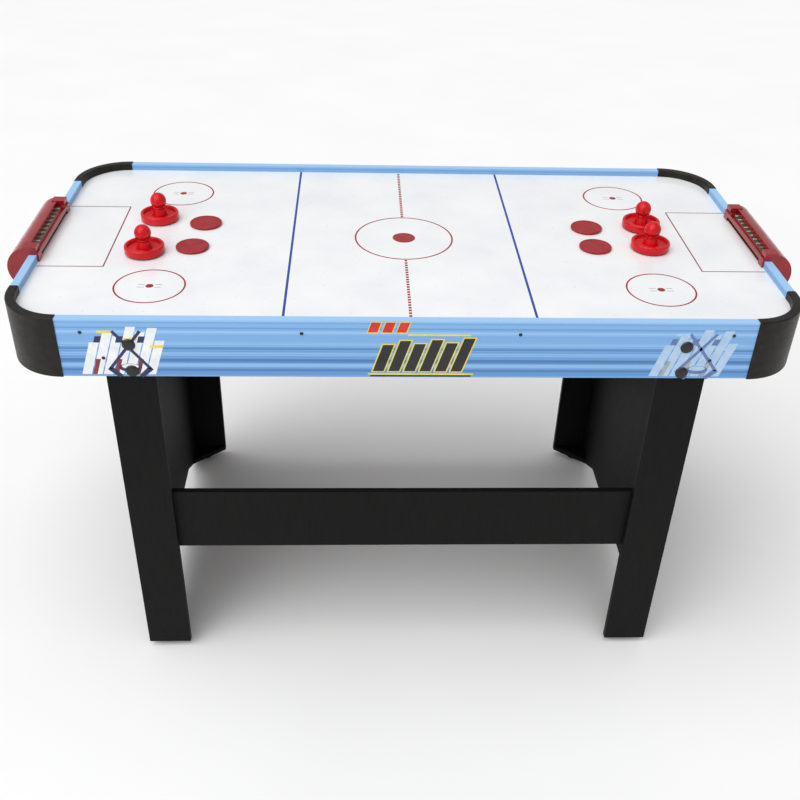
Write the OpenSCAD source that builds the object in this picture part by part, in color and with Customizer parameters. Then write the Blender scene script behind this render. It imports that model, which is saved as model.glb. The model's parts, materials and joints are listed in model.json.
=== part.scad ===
/* [Cabinet] */
// Length over the two end rails
table_l = 1372; // [1300:2:1420]
// Width over the two side rails
table_w = 700; // [690:2:760]
// Height of the playing surface above the floor
play_h = 775; // [740:5:800]
// Height of the rails above the playing surface
rail_rise = 13; // [12:1:16]
// Depth of the aprons, from the top of the rail down
apron_h = 110; // [106:1:130]
// Thickness of the apron boards
apron_t = 14; // [12:1:16]
// Plan radius of the corner mouldings
corner_r = 101; // [90:1:110]
// Straight tail of each corner moulding along the end of the table
corner_tail = 12; // [8:1:20]

/* [Playing surface] */
// Thickness of the playing board
play_t = 6; // [4:1:8]
// Spacing of the air holes
hole_pitch = 50; // [40:2:80]
// Diameter of each air hole
hole_d = 1.6; // [1.2:0.2:3]
// Height of the air chamber under the playing board
plenum_h = 42; // [36:1:50]
// Thickness of the board that closes the air chamber
plenum_t = 3; // [3:1:6]

/* [Legs] */
// Width of each leg board
leg_w = 84; // [70:1:100]
// Distance from the middle of the table to the outer face of a leg
leg_x = 518; // [490:1:530]
// Thickness of the leg boards and stretchers
leg_t = 12; // [10:1:15]
// Thickness of the end panels
panel_t = 9; // [9:1:12]
// Height of the glide under each leg
foot_h = 14; // [10:1:20]
// Diameter of the glide under each leg
foot_d = 25; // [20:1:30]
// Height of the underside of the stretchers above the floor
stretcher_z = 269; // [200:1:320]
// Depth of the stretchers
stretcher_h = 134; // [100:1:160]

/* [Goals] */
// Half width of the goal housing
goal_half = 117; // [110:1:125]
// Half width of the slot that the puck goes through
mouth_half = 97; // [90:1:100]
// Radius of the round catcher outside the end rail
catcher_r = 42; // [40:1:45]
// Wall of the goal housing
goal_wall = 2.5; // [2:0.5:3]

/* [Pushers and pucks] */
// Diameter of a pusher
pusher_d = 74; // [70:1:80]
// Height of a pusher with its felt
pusher_h = 55; // [50:1:58]
// Diameter of a puck
puck_d = 62; // [58:1:64]
// Thickness of a puck
puck_t = 4.6; // [4:0.2:6]
// Air gap under pushers and pucks
air_gap = 0.5; // [0.4:0.1:1]

/* [Hidden] */
$fn = 96;

sky = [0.45, 0.63, 0.85];
black = [0.14, 0.14, 0.14];
red = [0.85, 0.08, 0.12];
dark_red = [0.55, 0.08, 0.12];
wood = [0.76, 0.66, 0.50];
steel = [0.70, 0.70, 0.72];

// Main planes. The origin is the middle of the footprint, on the floor.
hx = table_l / 2;
hy = table_w / 2;
rail_z = play_h + rail_rise;
apron_z = rail_z - apron_h;
in_x = hx - apron_t;
in_y = hy - apron_t;
arc_x = hx - corner_r;
arc_y = hy - corner_r;
end_y = arc_y - corner_tail;
play_z = play_h - play_t;
plenum_z = play_z - plenum_h;
board_z = plenum_z - plenum_t;

// Battens round the air chamber, with pockets that the leg boards stand in.
batten_w = 30;
pocket_gap = 1;
nut_access_d = 22;
nut_gap = 0.1;

// Legs
leg_in = leg_x - leg_w;
leg_y = in_y - leg_t;
leg_top = play_z - 4;
leg_bolt_x = 469;
leg_bolt_z = [play_h - 35, play_h - 86];
bolt_d = 8;
panel_in = leg_x - panel_t;
panel_arch_h = 35;
panel_arch_y = 196;
panel_foot_y = 262;
foot_plate_t = 12;
foot_plate_x = 75;
foot_x = leg_x - 34;
foot_y = in_y - 23;
foot_stem_d = 8;

// Wood screws: through the long aprons into the battens, through the short aprons,
// through apron and leg board into the end panels, and through the stretchers into the legs
side_screw_x = [182.5, 545.5];
side_screw_z = play_h - 12;
end_screw_y = 170;
panel_screw_x = panel_in + panel_t / 2;
panel_screw_z = play_h - 61;
panel_screw_l = 46;
stretcher_screw_x = leg_x - leg_w / 2;
stretcher_screw_z = [stretcher_z + 30, stretcher_z + stretcher_h - 30];
stretcher_screw_l = 21;
lug_screw_l = 9;
screw_d = 3;
screw_head_d = 6.4;
screw_l = 28;
tongue_l = 26;
tongue_t = 3;
tongue_z = apron_z + 6;
tongue_h = 36;
tongue_screw_l = 12;

// Corner moulding section
lip = 1.5;
corner_wall = 3;
lip_r = 3;

// Blower
blower_r = 58;
blower_h = 38;
blower_wall = 2.5;
blower_eye_r = 36;
lug_t = 3;
lug_r = 9;
lug_angles = [45 : 90 : 315];
lug_hole_x = blower_r + 5;
impeller_r = 46;
impeller_h = 22;
impeller_plate_t = 2;
impeller_plate_z = 28;
hub_r = 7;
hub_l = 8;
shaft_gap = 0.05;
blade_n = 24;
motor_r = 17;
motor_h = 26;
shaft_r = 1.5;
air_hole_r = 34;
guard_t = 2.5;
guard_ring_w = 2;
guard_bar_w = 3;
guard_hole_r = 4;
guard_step = 8;
blower_z = board_z - blower_h;

// Switch and power jack, in the back apron
switch_x = 300;
switch_z = play_h - 62;
switch_w = 15;
switch_h = 21;
rocker_w = 10;
rocker_h = 16;
rocker_tilt = 9;
jack_x = 340;
jack_d = 12;
jack_bore = 5.6;
jack_deep = 9;

// Low-voltage lead from the switch to the blower, held close under the air chamber.
// Heights are measured from the underside of the air chamber.
lead_d = 4.4;
lead_sides = 8;
lead_path = [
    [300, 328, -11], [300, 316, -11], [299, 306, -10], [295, 297, -9], [287, 289, -7],
    [276, 282, -5], [262, 274, -4], [240, 262, -3], [215, 246, -2.5], [190, 228, -2.5],
    [165, 208, -2.5], [140, 186, -2.5], [120, 164, -2.5], [104, 142, -3], [92, 122, -5],
    [82, 104, -8], [73, 87, -12], [66, 74, -16], [58, 62, -20], [49, 51, -22], [40, 42, -24]
];

// Goal, measured on the right-hand end
strip_half = 94;
deck_t = 4;
deck_z = rail_z;
deck_in = in_x - 3.5;
block_z = rail_z + 15;
catcher_z = play_h - 15;
catcher_x = hx + 1;
curtain_z = play_h + 9;
slider_x = in_x + 1;
groove_w = 3;
groove_deep = 2.5;
slider_y = 88;
strip_x = in_x + 5;
strip_w = 12;
strip_t = 1.5;
ear_l = 14;
ear_z = play_h - 40;
ear_h = 30;
ear_t = 2.5;
ear_screw_l = 14;

// Resting places of the pushers and pucks: [x, y]
pusher_at = [[-482, 75], [-486, -75], [480, 60], [475, -38]];
puck_at = [[-389, 54], [-401, -53], [368, 50], [369, -38]];
glide_z = play_h + air_gap;
felt_t = 1.5;

module mirrored_x(right) {
    if (right) children();
    else mirror([1, 0, 0]) children();
}

module mirrored_y(back) {
    if (back) children();
    else mirror([0, 1, 0]) children();
}

// A box given by its lowest and highest corners
module span(a, b) {
    translate(a) cube(b - a);
}

// Rods along +X and +Y, for screws, bolts and their holes
module rod_x(p, d, l) {
    translate(p) rotate([0, 90, 0]) cylinder(d = d, h = l, $fn = 48);
}

module rod_y(p, d, l) {
    translate(p) rotate([-90, 0, 0]) cylinder(d = d, h = l, $fn = 48);
}

// Plan of the playing area inside the rails
module play_plan() {
    square([2 * arc_x, 2 * in_y], center = true);
    square([2 * in_x, 2 * arc_y], center = true);
    for (sx = [-1, 1], sy = [-1, 1])
        translate([sx * arc_x, sy * arc_y]) circle(r = corner_r - apron_t);
}

module playfield() {
    hole_nx = floor((in_x - 30) / hole_pitch);
    hole_ny = floor((in_y - 25) / hole_pitch);
    color("white")
        translate([0, 0, play_z]) linear_extrude(play_t) difference() {
            play_plan();
            for (i = [-hole_nx : hole_nx], j = [-hole_ny : hole_ny])
                translate([i * hole_pitch, j * hole_pitch]) circle(d = hole_d, $fn = 24);
        }
}

// Long apron of the back side; the front one is its mirror image
module long_apron() {
    difference() {
        span([-arc_x, in_y, apron_z], [arc_x, hy, rail_z]);
        for (s = [-1, 1]) {
            for (z = leg_bolt_z) rod_y([s * leg_bolt_x, in_y - 1, z], bolt_d + 0.4, apron_t + 2);
            for (x = side_screw_x)
                rod_y([s * x, in_y - 1, side_screw_z], screw_d + 0.2, apron_t + 2);
            rod_y([s * panel_screw_x, in_y - 1, panel_screw_z], screw_d + 0.2, apron_t + 2);
            rod_y([s * (arc_x - tongue_l / 2), in_y - 1, tongue_z + tongue_h / 2], screw_d + 0.2, 11);
        }
    }
}

module apron_front() {
    color(sky) mirror([0, 1, 0]) long_apron();
}

module apron_back() {
    color(sky) difference() {
        long_apron();
        span([switch_x - switch_w / 2, in_y - 1, switch_z - switch_h / 2],
             [switch_x + switch_w / 2, hy + 1, switch_z + switch_h / 2]);
        rod_y([jack_x, in_y - 1, switch_z], jack_d, apron_t + 2);
    }
}

// Short apron of the right-hand end, notched for the goal
module short_apron() {
    color(sky) difference() {
        span([in_x, -end_y, apron_z], [hx, end_y, rail_z]);
        span([in_x - 1, -mouth_half - 3, play_h - 2], [hx + 1, mouth_half + 3, rail_z + 1]);
        for (s = [-1, 1]) {
            rod_x([in_x - 1, s * end_screw_y, side_screw_z], screw_d + 0.2, apron_t + 2);
            rod_x([in_x - 1, s * (end_y - tongue_l / 2), tongue_z + tongue_h / 2], screw_d + 0.2, 11);
            rod_x([hx - ear_screw_l + 2, s * (goal_half + ear_l / 2), ear_z + ear_h / 2],
                  screw_d + 0.2, ear_screw_l);
        }
    }
}

// Section of a corner moulding: x is the distance from the centre of its arc
module corner_section() {
    r_out = corner_r + lip;
    r_in = corner_r - apron_t - 1;
    top = rail_z + lip;
    wall_h = top - apron_z + 1;
    translate([r_out - corner_wall, apron_z - 1]) square([corner_wall, wall_h - lip_r]);
    translate([r_in + lip_r, top - corner_wall]) square([r_out - r_in - 2 * lip_r, corner_wall]);
    translate([r_in, play_h]) square([corner_wall, top - lip_r - play_h]);
    translate([r_out - lip_r, top - lip_r]) circle(r = lip_r);
    translate([r_in + lip_r, top - lip_r]) circle(r = lip_r);
}

// Moulded corner of the back right; the others are its mirror images
module corner() {
    color(black) difference() {
        union() {
            translate([arc_x, arc_y, 0]) rotate_extrude(angle = 90) corner_section();
            translate([arc_x, arc_y, 0]) rotate([90, 0, 0]) linear_extrude(corner_tail) corner_section();
            // Tongues that reach behind the aprons
            span([arc_x - tongue_l, in_y - tongue_t, tongue_z], [arc_x + 5, in_y, tongue_z + tongue_h]);
            span([arc_x, in_y - tongue_t, tongue_z], [arc_x + 5, hy, tongue_z + tongue_h]);
            span([in_x - tongue_t, end_y - tongue_l, tongue_z], [in_x, end_y + 5, tongue_z + tongue_h]);
            span([in_x - tongue_t, end_y, tongue_z], [hx, end_y + 5, tongue_z + tongue_h]);
        }
        rod_y([arc_x - tongue_l / 2, in_y - 10, tongue_z + tongue_h / 2], screw_d + 0.2, 20);
        rod_x([in_x - 10, end_y - tongue_l / 2, tongue_z + tongue_h / 2], screw_d + 0.2, 20);
    }
}

module corner_front_left() { mirrored_x(false) mirrored_y(false) corner(); }
module corner_front_right() { mirrored_y(false) corner(); }
module corner_back_left() { mirrored_x(false) corner(); }
module corner_back_right() { corner(); }

module long_batten() {
    color(wood) difference() {
        span([-arc_x, in_y - batten_w, plenum_z], [arc_x, in_y, play_z]);
        for (s = [-1, 1]) {
            translate([s * (leg_x - leg_w / 2), in_y, plenum_z + plenum_h / 2])
                cube([leg_w + 2 * pocket_gap, 2 * leg_t + 0.4, plenum_h + 1], center = true);
            rod_y([s * leg_bolt_x, in_y - batten_w - 1, leg_bolt_z[0]], nut_access_d, batten_w + 2);
            for (x = side_screw_x)
                rod_y([s * x, in_y - screw_l + apron_t, side_screw_z], screw_d + 0.2, screw_l);
        }
    }
}

module batten_front() { mirrored_y(false) long_batten(); }
module batten_back() { long_batten(); }

module short_batten() {
    color(wood) difference() {
        span([in_x - batten_w, -end_y, plenum_z], [in_x, end_y, play_z]);
        for (s = [-1, 1])
            rod_x([in_x - screw_l + apron_t, s * end_screw_y, side_screw_z], screw_d + 0.2, screw_l);
    }
}

module batten_left() { mirrored_x(false) short_batten(); }
module batten_right() { short_batten(); }

// Curved battens that close the air chamber at its four corners
module corner_battens() {
    ring_r = corner_r - apron_t - batten_w;
    color(wood) for (right = [false, true], back = [false, true])
        mirrored_x(right) mirrored_y(back) translate([arc_x, arc_y, plenum_z]) {
            rotate_extrude(angle = 90) translate([ring_r, 0]) square([batten_w, plenum_h]);
            translate([ring_r, -corner_tail, 0]) cube([batten_w, corner_tail, plenum_h]);
        }
}

module plenum_board() {
    board_x = in_x - 1;
    board_y = leg_y - 0.5;
    cut = 62;
    color(wood) translate([0, 0, board_z]) linear_extrude(plenum_t) difference() {
        polygon([for (q = [[1, 1], [-1, 1], [-1, -1], [1, -1]])
            for (k = (q[0] * q[1] > 0) ? [0, 1] : [1, 0])
                [q[0] * (board_x - (k == 1 ? cut : 0)), q[1] * (board_y - (k == 0 ? cut : 0))]]);
        circle(r = air_hole_r);
        for (a = lug_angles) rotate(a) translate([lug_hole_x, 0]) circle(d = screw_d + 0.2, $fn = 48);
    }
}

// Posts that keep the playing board flat over the air chamber
module plenum_posts() {
    post = 24;
    color(wood)
        for (x = [-420, -140, 140, 420], y = [-150, 150])
            span([x - post / 2, y - post / 2, plenum_z], [x + post / 2, y + post / 2, play_z]);
}

// Round fan casing, open upward into the air chamber and downward at its eye
module blower_housing() {
    color(black) translate([0, 0, blower_z]) difference() {
        union() {
            cylinder(r = blower_r, h = blower_h);
            translate([0, 0, blower_h - lug_t]) linear_extrude(lug_t)
                for (a = lug_angles) rotate(a) translate([blower_r + 2, 0]) circle(r = lug_r);
        }
        translate([0, 0, blower_wall]) cylinder(r = blower_r - blower_wall, h = blower_h);
        translate([0, 0, -1]) cylinder(r = blower_eye_r, h = blower_wall + 2);
        for (a = lug_angles) rotate(a) translate([lug_hole_x, 0, blower_h - lug_t - 1])
            cylinder(d = screw_d + 0.2, h = lug_t + 2, $fn = 48);
    }
}

// Inlet guard under the casing: rings on a cross, carrying the motor
module blower_guard() {
    rings = [for (r = [motor_r + 1 : guard_step : blower_eye_r + 4]) r];
    color(black) translate([0, 0, blower_z - guard_t]) {
        linear_extrude(guard_t) {
            for (r = rings) difference() {
                circle(r = r);
                circle(r = r - guard_ring_w);
            }
            for (a = [0 : 45 : 135]) rotate(a) difference() {
                square([2 * (blower_eye_r + 5), guard_bar_w], center = true);
                circle(r = motor_r);
            }
            difference() {
                circle(r = blower_eye_r + 7);
                circle(r = blower_eye_r - 1);
            }
        }
        difference() {
            cylinder(r = motor_r + 1, h = guard_t);
            translate([0, 0, -1]) cylinder(r = guard_hole_r, h = guard_t + 2);
        }
    }
}

module blower_motor() {
    color(steel) translate([0, 0, blower_z]) {
        cylinder(r = motor_r - 1, h = 12);
        cylinder(r = shaft_r, h = motor_h, $fn = 48);
    }
}

// Fan wheel: a back plate above the motor with blades hanging from it
module blower_impeller() {
    blade_l = 9;
    blade_t = 1.2;
    blade_h = impeller_h - 3;
    color([0.85, 0.85, 0.85]) translate([0, 0, blower_z + impeller_plate_z]) {
        difference() {
            union() {
                cylinder(r = impeller_r, h = impeller_plate_t);
                translate([0, 0, impeller_plate_t - hub_l]) cylinder(r = hub_r, h = hub_l);
            }
            translate([0, 0, -hub_l]) cylinder(r = shaft_r + shaft_gap, h = hub_l + 1, $fn = 48);
        }
        for (k = [0 : blade_n - 1]) rotate(k * 360 / blade_n)
            translate([impeller_r - blade_l - 1, 0, 1 - blade_h]) rotate(35)
                translate([0, -blade_t / 2, 0]) cube([blade_l, blade_t, blade_h]);
    }
}

module switch_housing() {
    flange = 3;
    color(black) difference() {
        union() {
            span([switch_x - switch_w / 2 + 0.2, in_y - 8, switch_z - switch_h / 2 + 0.2],
                 [switch_x + switch_w / 2 - 0.2, hy, switch_z + switch_h / 2 - 0.2]);
            span([switch_x - switch_w / 2 - flange, hy, switch_z - switch_h / 2 - flange],
                 [switch_x + switch_w / 2 + flange, hy + 2, switch_z + switch_h / 2 + flange]);
        }
        span([switch_x - rocker_w / 2 - 0.5, hy - 8, switch_z - rocker_h / 2 - 1],
             [switch_x + rocker_w / 2 + 0.5, hy + 3, switch_z + rocker_h / 2 + 1]);
        rod_x([switch_x - rocker_w / 2 - 2, hy - 2, switch_z], 2.1, rocker_w + 4);
    }
}

// Rocker that tips about its pin, drawn in its off position
module switch_rocker() {
    color(red) translate([switch_x, hy - 2, switch_z]) rotate([rocker_tilt, 0, 0]) {
        translate([-rocker_w / 2, 0, 0]) rotate([0, 90, 0])
            linear_extrude(rocker_w) polygon([[-7.5, 1], [-7.5, 3.4], [0, 2.2], [7.5, 3.4],
                                              [7.5, 1], [2.5, -2.5], [-2.5, -2.5]]);
        rod_x([-rocker_w / 2 - 1.5, 0, 0], 2, rocker_w + 3);
    }
}

module power_jack() {
    color(black) difference() {
        union() {
            rod_y([jack_x, in_y - 6, switch_z], jack_d - 0.3, apron_t + 6);
            rod_y([jack_x, hy, switch_z], jack_d + 5, 1.6);
        }
        rod_y([jack_x, hy + 1.6 - jack_deep, switch_z], jack_bore, jack_deep + 1);
    }
}

function unit(v) = v / norm(v);
function path_dir(p, i) = unit(p[min(i + 1, len(p) - 1)] - p[max(i - 1, 0)]);
function ring(c, d, r, n) =
    let (u = unit(cross(d, [0, 0, 1])), w = cross(u, d))
    [for (k = [0 : n - 1]) c + r * (cos(k * 360 / n) * u + sin(k * 360 / n) * w)];

module tube_along(p, d, n) {
    rings = [for (i = [0 : len(p) - 1]) each ring(p[i], path_dir(p, i), d / 2, n)];
    last = (len(p) - 1) * n;
    walls = [for (i = [0 : len(p) - 2]) for (k = [0 : n - 1])
        [i * n + k, i * n + (k + 1) % n, (i + 1) * n + (k + 1) % n, (i + 1) * n + k]];
    polyhedron(rings, concat([[for (k = [n - 1 : -1 : 0]) k]], walls,
                             [[for (k = [0 : n - 1]) last + k]]), convexity = 4);
}

module blower_lead() {
    color(black) translate([0, 0, board_z]) tube_along(lead_path, lead_d, lead_sides);
}

// Goal housing of the right-hand end: score deck over the rail, round catcher outside
module goal_housing() {
    color(red) difference() {
        union() {
            span([deck_in, -goal_half, deck_z], [catcher_x + 1.5, goal_half, deck_z + deck_t]);
            span([deck_in, -goal_half, curtain_z], [in_x - 0.5, goal_half, deck_z + 1]);
            for (s = [-1, 1]) {
                mirrored_y(s > 0) {
                    span([deck_in, mouth_half, play_h], [in_x - 0.5, goal_half, deck_z + 1]);
                    span([in_x - 0.5, strip_half + 1, deck_z + 1], [catcher_x + 9, goal_half, block_z]);
                    span([hx, goal_half - 1, ear_z], [hx + ear_t, goal_half + ear_l, ear_z + ear_h]);
                }
            }
            // Wall that stands against the outer face of the apron
            span([hx, -goal_half, catcher_z - catcher_r], [catcher_x + 1.5, goal_half, block_z - 1]);
            intersection() {
                rod_y([catcher_x, -goal_half, catcher_z], 2 * catcher_r, 2 * goal_half);
                span([catcher_x, -goal_half - 1, catcher_z - catcher_r - 1],
                     [catcher_x + catcher_r + 1, goal_half + 1, catcher_z + catcher_r + 1]);
            }
        }
        // Hollow of the catcher
        intersection() {
            rod_y([catcher_x, -goal_half + goal_wall, catcher_z], 2 * (catcher_r - goal_wall),
                  2 * (goal_half - goal_wall));
            span([catcher_x + 1.5, -goal_half, catcher_z - catcher_r],
                 [catcher_x + catcher_r, goal_half, catcher_z + catcher_r]);
        }
        // Slot from the playing area
        span([in_x - 1, -mouth_half, play_h - 0.2], [catcher_x + 6, mouth_half, deck_z]);
        // Hand opening in the lower outside of the catcher
        translate([catcher_x, 85, catcher_z]) rotate([90, 0, 0]) linear_extrude(170)
            polygon([[0, 0], [60, -10], [60, -80], [24, -80]]);
        // Seat of the score strip and groove of the slider
        span([strip_x, -strip_half, deck_z + deck_t - strip_t],
             [strip_x + strip_w, strip_half, deck_z + deck_t + 1]);
        span([slider_x - groove_w / 2, -strip_half, deck_z + deck_t - groove_deep],
             [slider_x + groove_w / 2, strip_half, deck_z + deck_t + 1]);
        for (s = [-1, 1])
            rod_x([hx - 1, s * (goal_half + ear_l / 2), ear_z + ear_h / 2], screw_d + 0.4, 5);
    }
}

module goal_housing_left() { mirrored_x(false) goal_housing(); }
module goal_housing_right() { goal_housing(); }

// Channel that lines the slot through the rail
module goal_liner() {
    color(dark_red) difference() {
        span([in_x, -mouth_half - 2.9, play_h - 2], [hx, mouth_half + 2.9, rail_z]);
        span([in_x - 1, -mouth_half, play_h - 0.2], [hx + 1, mouth_half, rail_z + 1]);
    }
}

module goal_liner_left() { mirrored_x(false) goal_liner(); }
module goal_liner_right() { goal_liner(); }

module score_strip() {
    color([0.20, 0.20, 0.16])
        span([strip_x + 0.1, -strip_half + 0.1, deck_z + deck_t - strip_t],
             [strip_x + strip_w - 0.1, strip_half - 0.1, deck_z + deck_t]);
}

module score_strip_left() { mirrored_x(false) score_strip(); }
module score_strip_right() { score_strip(); }

// Marker that slides in the groove beside the numbers
module score_slider() {
    foot_w = groove_w - 0.2;
    color(dark_red) translate([slider_x, slider_y, deck_z + deck_t]) {
        span([-foot_w / 2, -4, -groove_deep + 0.1], [foot_w / 2, 4, 1]);
        span([-2.6, -5, 0.1], [3.4, 5, 3.6]);
    }
}

module score_slider_left() { mirrored_x(false) score_slider(); }
module score_slider_right() { score_slider(); }

module leg_board() {
    color(black) difference() {
        span([leg_in, leg_y, foot_h], [leg_x, in_y, leg_top]);
        for (z = leg_bolt_z) rod_y([leg_bolt_x, leg_y - 1, z], bolt_d + 0.4, leg_t + 2);
        rod_y([panel_screw_x, leg_y - 1, panel_screw_z], screw_d + 0.2, leg_t + 2);
        for (z = stretcher_screw_z)
            rod_y([stretcher_screw_x, leg_y - 1, z], screw_d + 0.2, stretcher_screw_l - leg_t + 2);
    }
}

module leg_board_front_left() { mirrored_x(false) mirrored_y(false) leg_board(); }
module leg_board_front_right() { mirrored_y(false) leg_board(); }
module leg_board_back_left() { mirrored_x(false) leg_board(); }
module leg_board_back_right() { leg_board(); }

// End panel between a front and a back leg, arched at the floor
module end_panel() {
    arch = foot_h + panel_arch_h;
    screw_in = panel_screw_l - apron_t - leg_t + 1;
    color(black) difference() {
        translate([panel_in, 0, 0]) rotate([90, 0, 90]) linear_extrude(panel_t)
            polygon([[-leg_y, foot_h], [-panel_foot_y, foot_h], [-panel_arch_y, arch],
                     [panel_arch_y, arch], [panel_foot_y, foot_h], [leg_y, foot_h],
                     [leg_y, board_z], [-leg_y, board_z]]);
        for (back = [false, true]) mirrored_y(back)
            rod_y([panel_screw_x, leg_y - screw_in, panel_screw_z], screw_d + 0.2, screw_in + 1);
    }
}

module end_panel_left() { mirrored_x(false) end_panel(); }
module end_panel_right() { end_panel(); }

module stretcher() {
    color(black) difference() {
        span([-panel_in, leg_y - leg_t, stretcher_z], [panel_in, leg_y, stretcher_z + stretcher_h]);
        for (s = [-1, 1], z = stretcher_screw_z)
            rod_y([s * stretcher_screw_x, leg_y - leg_t - 1, z], screw_d + 0.2, leg_t + 2);
    }
}

module stretcher_front() { mirrored_y(false) stretcher(); }
module stretcher_back() { stretcher(); }

// Three-cornered plate across the foot of a leg, with a seat for the glide
module foot_plate() {
    color(black) difference() {
        translate([0, 0, foot_h]) linear_extrude(foot_plate_t)
            polygon([[panel_in, leg_y], [panel_in, panel_foot_y], [panel_in - foot_plate_x, leg_y]]);
        translate([foot_x, foot_y, foot_h - 1])
            cylinder(d = foot_stem_d + 0.1, h = foot_plate_t + 2, $fn = 48);
    }
}

module foot_plate_front_left() { mirrored_x(false) mirrored_y(false) foot_plate(); }
module foot_plate_front_right() { mirrored_y(false) foot_plate(); }
module foot_plate_back_left() { mirrored_x(false) foot_plate(); }
module foot_plate_back_right() { foot_plate(); }

// Glide: a low disc with a rounded rim and a stem pressed into the foot plate
module foot() {
    rotate_extrude() polygon([[0, 0], [foot_d / 2 - 2, 0], [foot_d / 2, 2], [foot_d / 2, 6],
                              [foot_d / 2 - 4, foot_h], [foot_stem_d / 2, foot_h],
                              [foot_stem_d / 2, foot_h + foot_plate_t - 1],
                              [0, foot_h + foot_plate_t - 1]]);
}

module feet() {
    color(black) for (sx = [-1, 1], sy = [-1, 1]) translate([sx * foot_x, sy * foot_y, 0]) foot();
}

// Bolt with a wide cap that clamps a leg board to the apron
module leg_bolt(p) {
    cap_r = 11;
    translate(p) rotate([-90, 0, 0]) rotate_extrude() polygon([
        [0, -leg_t - apron_t - 12], [bolt_d / 2, -leg_t - apron_t - 12], [bolt_d / 2, 0],
        [cap_r, 0], [cap_r, 1.2], [cap_r - 1.5, 2.6], [cap_r - 4, 3.6], [0, 4]]);
}

module leg_bolts() {
    color(black) for (back = [false, true], s = [-1, 1], z = leg_bolt_z)
        mirrored_y(back) leg_bolt([s * leg_bolt_x, hy, z]);
}

module leg_nuts() {
    color(steel) for (back = [false, true], s = [-1, 1], z = leg_bolt_z)
        mirrored_y(back) difference() {
            union() {
                rod_y([s * leg_bolt_x, leg_y - 1.5, z], 18, 1.5);
                translate([s * leg_bolt_x, leg_y - 8, z]) rotate([-90, 0, 0])
                    cylinder(d = 15, h = 6.5, $fn = 6);
            }
            rod_y([s * leg_bolt_x, leg_y - 9, z], bolt_d + nut_gap, 10);
        }
}

// Screw along +Y with its head against the plane y = p.y
module screw(p, l) {
    translate(p) rotate([90, 0, 0]) {
        cylinder(d = screw_d, h = l, $fn = 48);
        translate([0, 0, -1.4]) cylinder(d1 = screw_head_d - 1.6, d2 = screw_head_d, h = 1.4, $fn = 48);
    }
}

module wood_screws() {
    color(black) for (back = [false, true]) mirrored_y(back) {
        for (s = [-1, 1]) {
            for (x = side_screw_x) screw([s * x, hy, side_screw_z], screw_l - 1);
            screw([s * panel_screw_x, hy, panel_screw_z], panel_screw_l);
            for (z = stretcher_screw_z)
                translate([s * stretcher_screw_x, leg_y - leg_t, z])
                    rotate(180) screw([0, 0, 0], stretcher_screw_l);
            mirrored_x(s > 0) translate([hx, end_screw_y, side_screw_z])
                rotate(-90) screw([0, 0, 0], screw_l - 1);
            translate([s * (arc_x - tongue_l / 2), in_y - tongue_t, tongue_z + tongue_h / 2])
                rotate(180) screw([0, 0, 0], tongue_screw_l);
            mirrored_x(s > 0) translate([in_x - tongue_t, end_y - tongue_l / 2, tongue_z + tongue_h / 2])
                rotate(90) screw([0, 0, 0], tongue_screw_l);
        }
    }
    // Screws through the ears of the goal housings
    color(black) for (s = [-1, 1], right = [false, true]) mirrored_x(right)
        translate([hx + ear_t, s * (goal_half + ear_l / 2), ear_z + ear_h / 2])
            rotate(-90) screw([0, 0, 0], ear_screw_l);
    // Screws that hold the blower up against the board of the air chamber
    color(black) for (a = lug_angles) rotate(a) translate([lug_hole_x, 0, board_z - lug_t])
        rotate([-90, 0, 0]) screw([0, 0, 0], lug_screw_l);
}

// Points on an arc about [cr, cz], for turned sections
function arc(cr, cz, rr, rz, a0, a1, n) =
    [for (k = [0 : n]) let (a = a0 + (a1 - a0) * k / n) [cr + rr * cos(a), cz + rz * sin(a)]];

module pusher(at) {
    r = pusher_d / 2;
    rim_z = 15;
    color(red) translate([at[0], at[1], glide_z + felt_t]) rotate_extrude() polygon(concat(
        [[0, 0], [r - 1.5, 0], [r, 1.5]],
        arc(r - 3, rim_z - 3, 3, 3, 0, 180, 8),
        [[r - 7, 8.5]],
        arc(17, 8.5, 3, 2.5, 270, 180, 4),
        arc(19, 22, 8.5, 7, 200, 160, 4),
        arc(0, 37.5, 15.5, pusher_h - felt_t - 37.5, -48, 90, 12)));
}

module felt(at) {
    color([0.12, 0.12, 0.12]) translate([at[0], at[1], glide_z]) difference() {
        cylinder(d = pusher_d - 5, h = felt_t);
        translate([0, 0, -1]) cylinder(d = pusher_d - 30, h = felt_t + 2);
    }
}

module puck(at) {
    r = puck_d / 2;
    color(dark_red) translate([at[0], at[1], glide_z]) rotate_extrude() polygon([
        [0, 0], [r - 0.8, 0], [r, 0.8], [r, puck_t - 0.8], [r - 0.8, puck_t],
        [r - 3.5, puck_t], [r - 4, puck_t - 0.5], [0, puck_t - 0.5]]);
}

module pusher_left_back() { pusher(pusher_at[0]); }
module pusher_left_front() { pusher(pusher_at[1]); }
module pusher_right_back() { pusher(pusher_at[2]); }
module pusher_right_front() { pusher(pusher_at[3]); }
module felt_left_back() { felt(pusher_at[0]); }
module felt_left_front() { felt(pusher_at[1]); }
module felt_right_back() { felt(pusher_at[2]); }
module felt_right_front() { felt(pusher_at[3]); }
module puck_left_back() { puck(puck_at[0]); }
module puck_left_front() { puck(puck_at[1]); }
module puck_right_back() { puck(puck_at[2]); }
module puck_right_front() { puck(puck_at[3]); }

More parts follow.
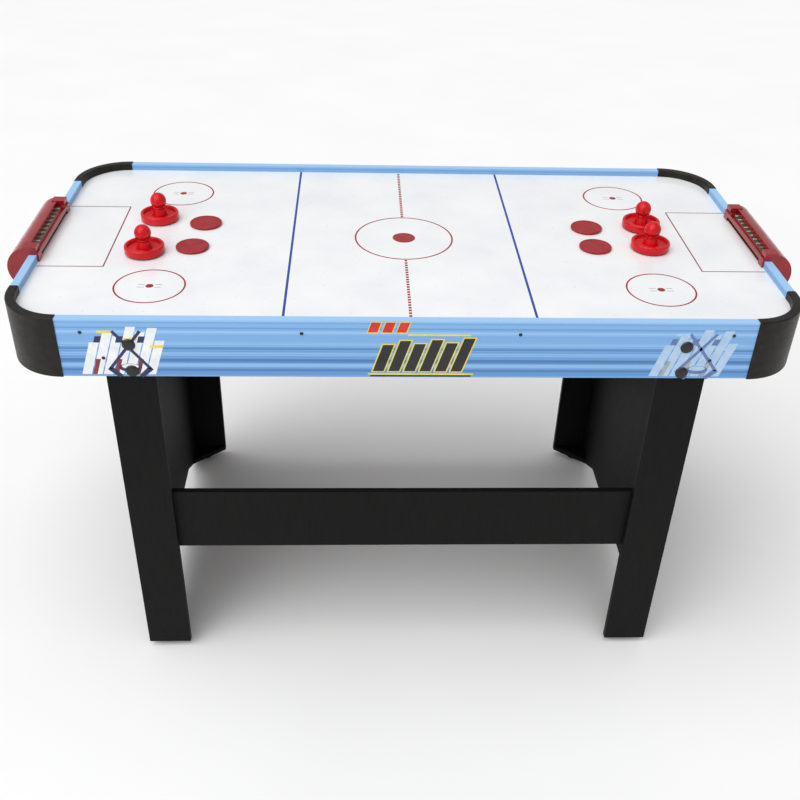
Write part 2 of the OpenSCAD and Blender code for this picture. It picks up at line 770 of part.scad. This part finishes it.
playfield();
apron_front();
apron_back();
mirrored_x(false) short_apron();  // apron_left
short_apron();  // apron_right
corner_front_left();
corner_front_right();
corner_back_left();
corner_back_right();
batten_front();
batten_back();
batten_left();
batten_right();
corner_battens();
plenum_board();
plenum_posts();
blower_housing();
blower_guard();
blower_motor();
blower_impeller();
switch_housing();
switch_rocker();
power_jack();
blower_lead();
goal_housing_left();
goal_housing_right();
goal_liner_left();
goal_liner_right();
score_strip_left();
score_strip_right();
score_slider_left();
score_slider_right();
leg_board_front_left();
leg_board_front_right();
leg_board_back_left();
leg_board_back_right();
end_panel_left();
end_panel_right();
stretcher_front();
stretcher_back();
foot_plate_front_left();
foot_plate_front_right();
foot_plate_back_left();
foot_plate_back_right();
feet();
leg_bolts();
leg_nuts();
wood_screws();
pusher_left_back();
pusher_left_front();
pusher_right_back();
pusher_right_front();
felt_left_back();
felt_left_front();
felt_right_back();
felt_right_front();
puck_left_back();
puck_left_front();
puck_right_back();
puck_right_front();
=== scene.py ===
"""Looks of an air hockey table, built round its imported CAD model. Metres, +Z up."""

import json
import math

import bmesh
import bpy
from mathutils import Matrix, Vector


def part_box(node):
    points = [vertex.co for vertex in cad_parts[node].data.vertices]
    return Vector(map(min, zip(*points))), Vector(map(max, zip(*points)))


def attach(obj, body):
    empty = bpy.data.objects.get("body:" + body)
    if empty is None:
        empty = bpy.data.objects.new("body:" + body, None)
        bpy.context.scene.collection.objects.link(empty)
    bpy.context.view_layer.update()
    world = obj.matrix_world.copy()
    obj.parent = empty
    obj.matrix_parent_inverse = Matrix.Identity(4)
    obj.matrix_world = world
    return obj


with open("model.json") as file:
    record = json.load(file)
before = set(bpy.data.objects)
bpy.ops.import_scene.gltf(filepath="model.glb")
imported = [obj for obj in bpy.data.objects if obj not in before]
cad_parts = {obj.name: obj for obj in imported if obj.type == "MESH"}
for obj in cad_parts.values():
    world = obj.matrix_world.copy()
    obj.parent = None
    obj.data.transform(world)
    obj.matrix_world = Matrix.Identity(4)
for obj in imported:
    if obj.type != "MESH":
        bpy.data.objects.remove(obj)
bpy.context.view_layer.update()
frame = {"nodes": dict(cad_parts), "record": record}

# ---------------------------------------------------------------- camera

CAMERA_AT = Vector((-0.0919, -1.7782, 1.6013))
CAMERA_YAW = 0.05322
CAMERA_PITCH = -0.59629
CAMERA_ROLL = 0.03248
CAMERA_LENS = 44.743


def make_camera():
    """Camera at a viewer's height in front of the long side, looking down at the field."""
    yaw, pitch, roll = CAMERA_YAW, CAMERA_PITCH, CAMERA_ROLL
    ahead = Vector((math.sin(yaw) * math.cos(pitch), math.cos(yaw) * math.cos(pitch), math.sin(pitch)))
    level = Vector((math.cos(yaw), -math.sin(yaw), 0))
    above = level.cross(ahead)
    right = level * math.cos(roll) + above * math.sin(roll)
    up = above * math.cos(roll) - level * math.sin(roll)
    data = bpy.data.cameras.new("camera")
    data.lens = CAMERA_LENS
    data.sensor_width = 36
    camera = bpy.data.objects.new("camera", data)
    turn = Matrix((right, up, -ahead)).transposed().to_4x4()
    camera.matrix_world = Matrix.Translation(CAMERA_AT) @ turn
    bpy.context.scene.collection.objects.link(camera)
    bpy.context.scene.camera = camera


make_camera()

# ---------------------------------------------------------------- places, from the frame

FIELD_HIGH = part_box("playfield")[1]
FIELD_Z = FIELD_HIGH.z
FIELD_X = FIELD_HIGH.x
FIELD_Y = FIELD_HIGH.y
APRON_LOW, APRON_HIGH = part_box("apron_front")
APRON_Y = APRON_LOW.y
APRON_Z = APRON_LOW.z
APRON_TOP = APRON_HIGH.z
STRIP_LOW, STRIP_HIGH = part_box("score_strip_right")
MM = 0.001

# ---------------------------------------------------------------- materials


def srgb(r, g, b):
    """Linear colour of an 8-bit screen colour."""
    def linear(c):
        c /= 255
        return c / 12.92 if c <= 0.04045 else ((c + 0.055) / 1.055) ** 2.4
    return (linear(r), linear(g), linear(b), 1)


class Paint:
    """A node material whose colour, roughness and bump come from noise in the piece's own space."""

    def __init__(self, name):
        self.mat = bpy.data.materials.new(name)
        self.mat.use_nodes = True
        self.nodes = self.mat.node_tree.nodes
        self.links = self.mat.node_tree.links
        self.shader = self.nodes["Principled BSDF"]
        self.space = self.nodes.new("ShaderNodeTexCoord").outputs["Object"]

    def join(self, out, into):
        self.links.new(out, into)

    def set(self, **values):
        for key, value in values.items():
            self.shader.inputs[key.replace("_", " ")].default_value = value
        return self

    def noise(self, scale, stretch=(1, 1, 1), detail=4):
        mapping = self.nodes.new("ShaderNodeMapping")
        mapping.inputs["Scale"].default_value = stretch
        self.join(self.space, mapping.inputs["Vector"])
        tex = self.nodes.new("ShaderNodeTexNoise")
        tex.inputs["Scale"].default_value = scale
        tex.inputs["Detail"].default_value = detail
        self.join(mapping.outputs["Vector"], tex.inputs["Vector"])
        return tex.outputs["Fac"]

    def ramp(self, fac, stops):
        node = self.nodes.new("ShaderNodeValToRGB")
        band = node.color_ramp
        while len(band.elements) < len(stops):
            band.elements.new(0.5)
        for element, (at, colour) in zip(band.elements, stops):
            element.position = at
            element.color = colour
        self.join(fac, node.inputs["Fac"])
        return node.outputs["Color"]

    def span(self, value, low, high, to_low, to_high):
        node = self.nodes.new("ShaderNodeMapRange")
        for key, number in (("From Min", low), ("From Max", high), ("To Min", to_low), ("To Max", to_high)):
            node.inputs[key].default_value = number
        self.join(value, node.inputs["Value"])
        return node.outputs["Result"]

    def math(self, kind, a, b):
        node = self.nodes.new("ShaderNodeMath")
        node.operation = kind
        for socket, value in zip(node.inputs, (a, b)):
            if isinstance(value, (int, float)):
                socket.default_value = value
            else:
                self.join(value, socket)
        return node.outputs["Value"]

    def colour(self, out):
        self.join(out, self.shader.inputs["Base Color"])
        return self

    def rough(self, fac, low, high):
        self.join(self.span(fac, 0.3, 0.7, low, high), self.shader.inputs["Roughness"])
        return self

    def bump(self, fac, distance, strength=1.0):
        node = self.nodes.new("ShaderNodeBump")
        node.inputs["Strength"].default_value = strength
        node.inputs["Distance"].default_value = distance
        self.join(fac, node.inputs["Height"])
        self.join(node.outputs["Normal"], self.shader.inputs["Normal"])
        return self


def grained(name, dark, light, scale, stretch=(1, 1, 1), rough=(0.4, 0.5), bump=2e-5, fine=900, **values):
    """Two shades broken up by noise, with a finer noise for the surface texture."""
    paint = Paint(name)
    tone = paint.noise(scale, stretch)
    paint.colour(paint.ramp(tone, [(0.3, dark), (0.7, light)]))
    paint.rough(paint.noise(scale * 2.3, stretch), *rough)
    paint.bump(paint.noise(fine, stretch, 3), bump)
    return paint.set(**values).mat


def field_material():
    """Glossy laminate, very slightly mottled, with the soft ripple of a thin sheet."""
    paint = Paint("field_white")
    mottled = paint.noise(9, detail=5)
    paint.colour(paint.ramp(mottled, [(0.3, srgb(236, 239, 242)), (0.7, srgb(247, 248, 249))]))
    paint.rough(paint.noise(30), 0.13, 0.22)
    paint.bump(paint.noise(14, detail=2), 1.5e-4, 0.25)
    return paint.set(Specular_IOR_Level=0.5, Coat_Weight=0.3, Coat_Roughness=0.08).mat


def apron_material():
    """Printed foil: sky blue with level streaks of uneven width, paler toward the rail."""
    paint = Paint("apron_foil")
    level = (0, 0, 1)
    streak = paint.noise(95, level, 2)
    hair = paint.noise(520, level, 1)
    height = paint.nodes.new("ShaderNodeSeparateXYZ")
    paint.join(paint.space, height.inputs["Vector"])
    rise = paint.span(height.outputs["Z"], APRON_Z, APRON_TOP, -0.05, 0.07)
    mixed = paint.math("ADD", paint.math("MULTIPLY", streak, 0.8), paint.math("MULTIPLY", hair, 0.2))
    tone = paint.math("ADD", mixed, rise)
    paint.colour(paint.ramp(tone, [(0.38, srgb(78, 122, 178)), (0.47, srgb(104, 154, 208)),
                                   (0.54, srgb(128, 176, 226)), (0.64, srgb(158, 200, 240))]))
    paint.rough(paint.noise(40), 0.32, 0.42)
    paint.bump(paint.noise(1400, detail=2), 1e-5, 0.6)
    return paint.set(Specular_IOR_Level=0.3).mat


def wood_material(name, dark, light):
    """Chips of unfinished board."""
    return grained(name, dark, light, 90, (1, 1, 1), (0.7, 0.9), 1.2e-4, 400, Specular_IOR_Level=0.2)


def goal_material():
    """Tinted translucent moulding with a soft sheen."""
    paint = Paint("goal_red")
    cloud = paint.noise(26)
    paint.colour(paint.ramp(cloud, [(0.3, srgb(150, 6, 20)), (0.7, srgb(178, 12, 28))]))
    paint.rough(paint.noise(70), 0.16, 0.28)
    paint.bump(paint.noise(900), 1e-5, 0.5)
    return paint.set(Transmission_Weight=0.22, IOR=1.49, Coat_Weight=0.15, Coat_Roughness=0.12).mat


def make_materials():
    black, soot = srgb(22, 22, 22), srgb(38, 38, 37)
    return {
        "field_white": field_material(),
        "apron_foil": apron_material(),
        "corner_black": grained("corner_black", srgb(26, 24, 20), srgb(40, 37, 32), 60,
                                rough=(0.36, 0.48), bump=4e-5,
                                 Specular_IOR_Level=0.18),
        "raw_wood": wood_material("raw_wood", srgb(160, 128, 86), srgb(204, 174, 130)),
        "hardboard": wood_material("hardboard", srgb(84, 58, 36), srgb(112, 80, 52)),
        "black_plastic": grained("black_plastic", black, soot, 120, rough=(0.45, 0.6), bump=5e-5),
        "fan_plastic": grained("fan_plastic", srgb(196, 196, 190), srgb(214, 214, 208), 80,
                               rough=(0.35, 0.5)),
        "steel": grained("steel", srgb(150, 151, 154), srgb(196, 197, 199), 200,
                         rough=(0.28, 0.42), Metallic=1.0),
        "rocker_red": grained("rocker_red", srgb(170, 12, 16), srgb(196, 22, 26), 150, rough=(0.2, 0.3)),
        "cable_black": grained("cable_black", black, soot, 300, rough=(0.6, 0.75), bump=6e-5),
        "goal_red": goal_material(),
        "goal_dark_red": grained("goal_dark_red", srgb(112, 8, 22), srgb(146, 18, 34), 60, rough=(0.2, 0.32),
                                 Coat_Weight=0.3),
        "score_strip": grained("score_strip", srgb(52, 52, 42), srgb(76, 75, 60), 200, rough=(0.45, 0.6)),
        "leg_black": grained("leg_black", srgb(13, 13, 13), srgb(20, 20, 19), 24,
                             (14, 14, 0.7), (0.5, 0.6), 1.5e-5, 160,
                              Specular_IOR_Level=0.12),
        "black_metal": grained("black_metal", srgb(12, 12, 12), srgb(26, 26, 27), 220, rough=(0.3, 0.45)),
        "pusher_red": grained("pusher_red", srgb(196, 4, 16), srgb(214, 10, 26), 40, rough=(0.2, 0.3),
                              bump=1.2e-5, Specular_IOR_Level=0.3, Coat_Weight=0.06),
        "felt": grained("felt", srgb(24, 20, 22), srgb(52, 46, 48), 900, rough=(0.9, 1.0), bump=3e-4,
                        Sheen_Weight=0.4),
        "puck_red": grained("puck_red", srgb(146, 24, 32), srgb(166, 34, 42), 50,
                            rough=(0.34, 0.46), bump=3e-5,
                             Specular_IOR_Level=0.35),
    }


MATERIALS = make_materials()
INKS = {
    "ink_blue": grained("ink_blue", srgb(18, 58, 148), srgb(26, 72, 168), 90, rough=(0.2, 0.3)),
    "ink_red": grained("ink_red", srgb(146, 18, 30), srgb(170, 28, 38), 90, rough=(0.2, 0.3)),
    "ink_crease": grained("ink_crease", srgb(132, 52, 58), srgb(156, 70, 74), 90, rough=(0.2, 0.3)),
    "ink_grey": grained("ink_grey", srgb(120, 110, 112), srgb(146, 134, 136), 90, rough=(0.2, 0.3)),
    "art_white": grained("art_white", srgb(226, 230, 234), srgb(244, 246, 248), 70, rough=(0.32, 0.42)),
    "art_navy": grained("art_navy", srgb(26, 32, 74), srgb(42, 50, 98), 70, rough=(0.32, 0.42)),
    "art_red": grained("art_red", srgb(190, 34, 30), srgb(222, 52, 40), 70, rough=(0.32, 0.42)),
    "art_maroon": grained("art_maroon", srgb(120, 34, 38), srgb(146, 50, 52), 70, rough=(0.32, 0.42)),
    "art_yellow": grained("art_yellow", srgb(228, 202, 40), srgb(244, 224, 84), 70, rough=(0.32, 0.42)),
    "art_black": grained("art_black", srgb(16, 16, 20), srgb(32, 32, 36), 70, rough=(0.32, 0.42)),
    "art_pale": grained("art_pale", srgb(164, 194, 226), srgb(184, 208, 234), 70, rough=(0.32, 0.42)),
    "art_dusk": grained("art_dusk", srgb(84, 112, 164), srgb(104, 130, 180), 70, rough=(0.32, 0.42)),
    "art_sand": grained("art_sand", srgb(150, 160, 160), srgb(172, 178, 170), 70, rough=(0.32, 0.42)),
    "figures": grained("figures", srgb(206, 206, 190), srgb(228, 228, 214), 200, rough=(0.4, 0.5)),
}

# ---------------------------------------------------------------- meshes

BOARDS = ("apron_", "leg_board", "end_panel", "stretcher", "foot_plate", "batten", "plenum_board")
EDGE = 0.7 * MM


def dress_cad_nodes():
    """Gives each CAD node its material and eased edges on the boards."""
    for row in frame["record"]["subparts"]:
        piece = frame["nodes"][row["node"]]
        piece.data.materials.clear()
        piece.data.materials.append(MATERIALS[row["material_slot"]])
        if row["node"].startswith(BOARDS):
            ease = piece.modifiers.new("eased_edges", "BEVEL")
            ease.width = EDGE
            ease.segments = 2
            ease.limit_method = "ANGLE"
            ease.angle_limit = math.radians(50)


def mesh_piece(name, material, build):
    """A new piece on the table whose mesh is filled in by build(bmesh)."""
    bm = bmesh.new()
    build(bm)
    bmesh.ops.recalc_face_normals(bm, faces=bm.faces)
    mesh = bpy.data.meshes.new(name)
    bm.to_mesh(mesh)
    bm.free()
    mesh.materials.append(material)
    piece = bpy.data.objects.new(name, mesh)
    bpy.context.scene.collection.objects.link(piece)
    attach(piece, "table")


SINK = 0.02 * MM


def plate(bm, outline, place, thick):
    """A thin closed plate over an outline of (u, v), put in space by place(u, v, height)."""
    low = [bm.verts.new(place(u, v, -SINK)) for u, v in outline]
    high = [bm.verts.new(place(u, v, thick)) for u, v in outline]
    bm.faces.new(low)
    bm.faces.new(high)
    for k in range(len(outline)):
        j = (k + 1) % len(outline)
        bm.faces.new((low[k], low[j], high[j], high[k]))


def ring(bm, centre, radius, width, place, thick, steps=96):
    """A thin closed ring of the given middle radius."""
    loops = []
    for r, h in ((radius - width / 2, -SINK), (radius + width / 2, -SINK),
                 (radius + width / 2, thick), (radius - width / 2, thick)):
        turns = [2 * math.pi * k / steps for k in range(steps)]
        points = [(centre[0] + r * math.cos(t), centre[1] + r * math.sin(t)) for t in turns]
        loops.append([bm.verts.new(place(u, v, h)) for u, v in points])
    for a, b in zip(loops, loops[1:] + loops[:1]):
        for k in range(steps):
            j = (k + 1) % steps
            bm.faces.new((a[k], a[j], b[j], b[k]))


def disc(centre, radius, squash=1.0, steps=48):
    turns = [2 * math.pi * k / steps for k in range(steps)]
    return [(centre[0] + radius * math.cos(t), centre[1] + radius * squash * math.sin(t)) for t in turns]


def bar(u0, v0, u1, v1):
    return [(u0, v0), (u1, v0), (u1, v1), (u0, v1)]


def stroke(a, b, width):
    """A straight bar from a to b."""
    a, b = Vector(a), Vector(b)
    side = (b - a).normalized().orthogonal() * width / 2
    return [tuple(p) for p in (a + side, b + side, b - side, a - side)]


# ---------------------------------------------------------------- printing on the field

PRINT = 0.12 * MM
BLUE_X = 215 * MM
BLUE_W = 4.5 * MM
CENTRE_R = 94 * MM
CENTRE_DOT_R = 22 * MM
DASH = 6 * MM
DASH_GAP = 3.5 * MM
DASH_W = 5.2 * MM
SPOT = (455 * MM, 208 * MM)
SPOT_R = 61.5 * MM
SPOT_DOT_R = 7 * MM
RING_W = 3.2 * MM
CREASE = (551 * MM, 134.5 * MM)
CREASE_W = 2.6 * MM
EDGE_GAP = 1 * MM
TICK_OUT = 15 * MM
TICK_RISE = 5 * MM
TICK_HALF = 6 * MM
TICK_W = 1.2 * MM


def on_field(u, v, h):
    return (u, v, FIELD_Z + h)


def blue_lines(bm):
    for s in (-1, 1):
        x = s * BLUE_X
        line = bar(x - BLUE_W / 2, -FIELD_Y + EDGE_GAP, x + BLUE_W / 2, FIELD_Y - EDGE_GAP)
        plate(bm, line, on_field, PRINT)


def red_marks(bm):
    ring(bm, (0, 0), CENTRE_R, RING_W, on_field, PRINT, 160)
    plate(bm, disc((0, 0), CENTRE_DOT_R, steps=64), on_field, PRINT)
    y = CENTRE_R + DASH_GAP
    while y + DASH < FIELD_Y:
        for s in (-1, 1):
            low, high = sorted((s * y, s * (y + DASH)))
            plate(bm, bar(-DASH_W / 2, low, DASH_W / 2, high), on_field, PRINT)
        y += DASH + DASH_GAP
    for sx in (-1, 1):
        for sy in (-1, 1):
            spot = (sx * SPOT[0], sy * SPOT[1])
            ring(bm, spot, SPOT_R, RING_W, on_field, PRINT, 120)
            plate(bm, disc(spot, SPOT_DOT_R), on_field, PRINT)


def crease_lines(bm):
    x, y = CREASE
    half = CREASE_W / 2
    for s in (-1, 1):
        corners = [(FIELD_X - EDGE_GAP, y + half), (x - half, y + half), (x - half, -y - half),
                   (FIELD_X - EDGE_GAP, -y - half), (FIELD_X - EDGE_GAP, -y + half), (x + half, -y + half),
                   (x + half, y - half), (FIELD_X - EDGE_GAP, y - half)]
        plate(bm, [(s * u, v) for u, v in corners], on_field, PRINT)


def spot_ticks(bm):
    """Small hash marks on both sides of each face-off spot."""
    for sx in (-1, 1):
        for sy in (-1, 1):
            for side in (-1, 1):
                u = sx * SPOT[0] + side * TICK_OUT
                v = sy * SPOT[1]
                for w in (v + TICK_RISE, v - TICK_RISE):
                    tick = stroke((u - TICK_HALF, w), (u + TICK_HALF, w), TICK_W)
                    plate(bm, tick, on_field, PRINT)


def print_field():
    mesh_piece("field_lines_blue", INKS["ink_blue"], blue_lines)
    mesh_piece("field_marks_red", INKS["ink_red"], red_marks)
    mesh_piece("field_crease_lines", INKS["ink_crease"], crease_lines)
    mesh_piece("field_spot_ticks", INKS["ink_grey"], spot_ticks)


# ---------------------------------------------------------------- printing on the front apron

LAYER = 0.07 * MM
LEAN = 0.32
STICK_TURN = -0.66


def on_apron(u, v, h):
    """u runs along the table, v up from the bottom of the apron, both in millimetres."""
    return (u * MM, APRON_Y - h, APRON_Z + v * MM)


def slash(u, v, width, height, lean=LEAN):
    return [(u, v), (u + width, v), (u + width + height * lean, v + height), (u + height * lean, v + height)]


def ink(name, material, layer, outlines):
    """One colour of a print: every outline in it, as one piece."""
    def build(bm):
        for outline in outlines:
            plate(bm, outline, on_apron, layer * LAYER)
    mesh_piece(name, INKS[material], build)


def stick(heel, turn, flip):
    """Shaft and blade of a hockey stick that stands on its heel."""
    def put(points):
        c, s = math.cos(turn), math.sin(turn)
        turned = [(c * u - s * v, s * u + c * v) for u, v in points]
        return [(heel[0] + flip * u, heel[1] + v) for u, v in turned]
    shaft = put([(-2.6, 4), (2.6, 4), (2.6, 96), (-2.6, 96)])
    blade = put([(-2.6, 0), (22, -1.5), (24, 6), (3, 9), (-2.6, 5)])
    return [shaft, blade]


def motif(name, left, width, inks):
    """Crossed sticks over a puck on a broad mass of slanted shards. inks go from back to front."""
    mass, dark, warm, spark = inks
    count = 7
    pitch = (width - 40) / count
    heights = (62, 84, 74, 92, 82, 90, 66)
    ink(f"{name}_mass", mass, 1, [slash(left + pitch * k, 4, pitch - 2, h) for k, h in enumerate(heights)])
    ink(f"{name}_bars", warm, 2, [slash(left + pitch * k, 4, pitch * 0.42, 30) for k in (1, 3, 5)])
    ink(f"{name}_caps", dark, 3, [slash(left + pitch * (k + 0.5), 66, pitch * 0.6, 12) for k in (1, 3, 5)])
    ink(f"{name}_sparks", spark, 4, [slash(left + 34 + 42 * k, 84 - 14 * k, 22, 5) for k in range(3)])
    ink(f"{name}_sticks", dark, 5,
        stick((left + 46, 12), STICK_TURN, 1) + stick((left + 118, 12), STICK_TURN, -1))
    ink(f"{name}_puck", dark, 6, [disc((left + 82, 17), 19, 0.42)])
    ink(f"{name}_puck_top", mass, 7, [disc((left + 82, 20), 14, 0.34)])


def emblem():
    """Speed bars between rules: red above, six broad black ones with a yellow edge below."""
    ink("emblem_red_edge", "art_yellow", 1, [slash(-75 + 24 * k, 86, 19, 22) for k in range(3)])
    ink("emblem_red_bars", "art_red", 2, [slash(-73 + 24 * k, 88, 16, 19) for k in range(3)])
    heights = (52, 60, 54, 62, 56, 65)
    edges = [slash(-67 + 26.5 * k, 10, 23, h + 4) for k, h in enumerate(heights)]
    ink("emblem_bar_edge", "art_yellow", 3, edges)
    ink("emblem_bars", "art_black", 4, [slash(-64 + 26.5 * k, 12, 18.5, h) for k, h in enumerate(heights)])
    ink("emblem_rules", "art_yellow", 5, [bar(-72, 5, 108, 8), bar(-6, 82, 100, 85)])
    ink("emblem_rule_shadow", "art_black", 6, [bar(-68, 1.5, 104, 4)])


def print_apron():
    emblem()
    motif("motif_left", -553, 165, ("art_white", "art_navy", "art_maroon", "art_yellow"))
    motif("motif_right", 412, 165, ("art_pale", "art_dusk", "art_sand", "art_pale"))


# ---------------------------------------------------------------- figures on the score strips

SEGMENTS = ("abcdef", "bc", "abged", "abgcd", "fgbc", "afgcd", "afgedc", "abc", "abcdefg", "abcdfg")
FIGURE_W = 4.6 * MM
FIGURE_H = 8.2 * MM
FIGURE_STROKE = 1.3 * MM
FIGURE_PITCH = 18.4 * MM


def figure(digit, u, v):
    """Bars of a plain numeral with its lower left corner at (u, v)."""
    w, h, t = FIGURE_W, FIGURE_H, FIGURE_STROKE
    bars = {
        "a": bar(u, v + h - t, u + w, v + h), "g": bar(u, v + h / 2 - t / 2, u + w, v + h / 2 + t / 2),
        "d": bar(u, v, u + w, v + t), "f": bar(u, v + h / 2, u + t, v + h), "e": bar(u, v, u + t, v + h / 2),
        "b": bar(u + w - t, v + h / 2, u + w, v + h), "c": bar(u + w - t, v, u + w, v + h / 2),
    }
    return [bars[s] for s in SEGMENTS[digit]]


def number_strips():
    middle = (STRIP_LOW.x + STRIP_HIGH.x) / 2
    for end, s in (("left", -1), ("right", 1)):
        def place(u, v, h):
            return (s * (middle - v), s * u, STRIP_HIGH.z + h)

        def build(bm):
            for digit in range(10):
                u = (digit - 4.5) * FIGURE_PITCH - FIGURE_W / 2
                for k, outline in enumerate(figure(digit, u, -FIGURE_H / 2)):
                    plate(bm, outline, place, PRINT + k * LAYER / 10)
        mesh_piece(f"score_figures_{end}", INKS["figures"], build)


# ---------------------------------------------------------------- room and light

FLOOR_HALF = 12
WORLD_STRENGTH = 0.5
SUN_ENERGY = 1.9
SUN_SPREAD = math.radians(70)
SUN_AIM = Vector((0.4, 0.35, -1))


def make_room():
    floor_paint = grained("floor_pale", srgb(246, 246, 246), srgb(249, 249, 249), 2, rough=(0.8, 0.9))
    mesh = bpy.data.meshes.new("floor")
    half = FLOOR_HALF
    corners = [(-half, -half, 0), (half, -half, 0), (half, half, 0), (-half, half, 0)]
    mesh.from_pydata(corners, [], [(0, 1, 2, 3)])
    mesh.materials.append(floor_paint)
    floor = bpy.data.objects.new("floor", mesh)
    bpy.context.scene.collection.objects.link(floor)
    world = bpy.data.worlds.new("studio")
    world.use_nodes = True
    world.node_tree.nodes["Background"].inputs["Color"].default_value = (1, 1, 1, 1)
    world.node_tree.nodes["Background"].inputs["Strength"].default_value = WORLD_STRENGTH
    bpy.context.scene.world = world
    bpy.context.scene.view_settings.view_transform = "Standard"


def soft_light(name, at, aim, size, power):
    data = bpy.data.lights.new(name, "AREA")
    data.shape = "SQUARE"
    data.size = size
    data.energy = power
    light = bpy.data.objects.new(name, data)
    light.location = at
    light.rotation_mode = "QUATERNION"
    light.rotation_quaternion = (Vector(aim) - Vector(at)).to_track_quat("-Z", "Y")
    bpy.context.scene.collection.objects.link(light)


def overhead_sun():
    """Broad soft light from above, a little to the left and in front."""
    data = bpy.data.lights.new("overhead", "SUN")
    data.energy = SUN_ENERGY
    data.angle = SUN_SPREAD
    light = bpy.data.objects.new("overhead", data)
    light.rotation_mode = "QUATERNION"
    light.rotation_quaternion = SUN_AIM.to_track_quat("-Z", "Y")
    bpy.context.scene.collection.objects.link(light)


dress_cad_nodes()
print_field()
print_apron()
number_strips()
make_room()
overhead_sun()
soft_light("key", (-2.2, -2.4, 2.2), (-0.2, 0, 0.7), 2.0, 16)
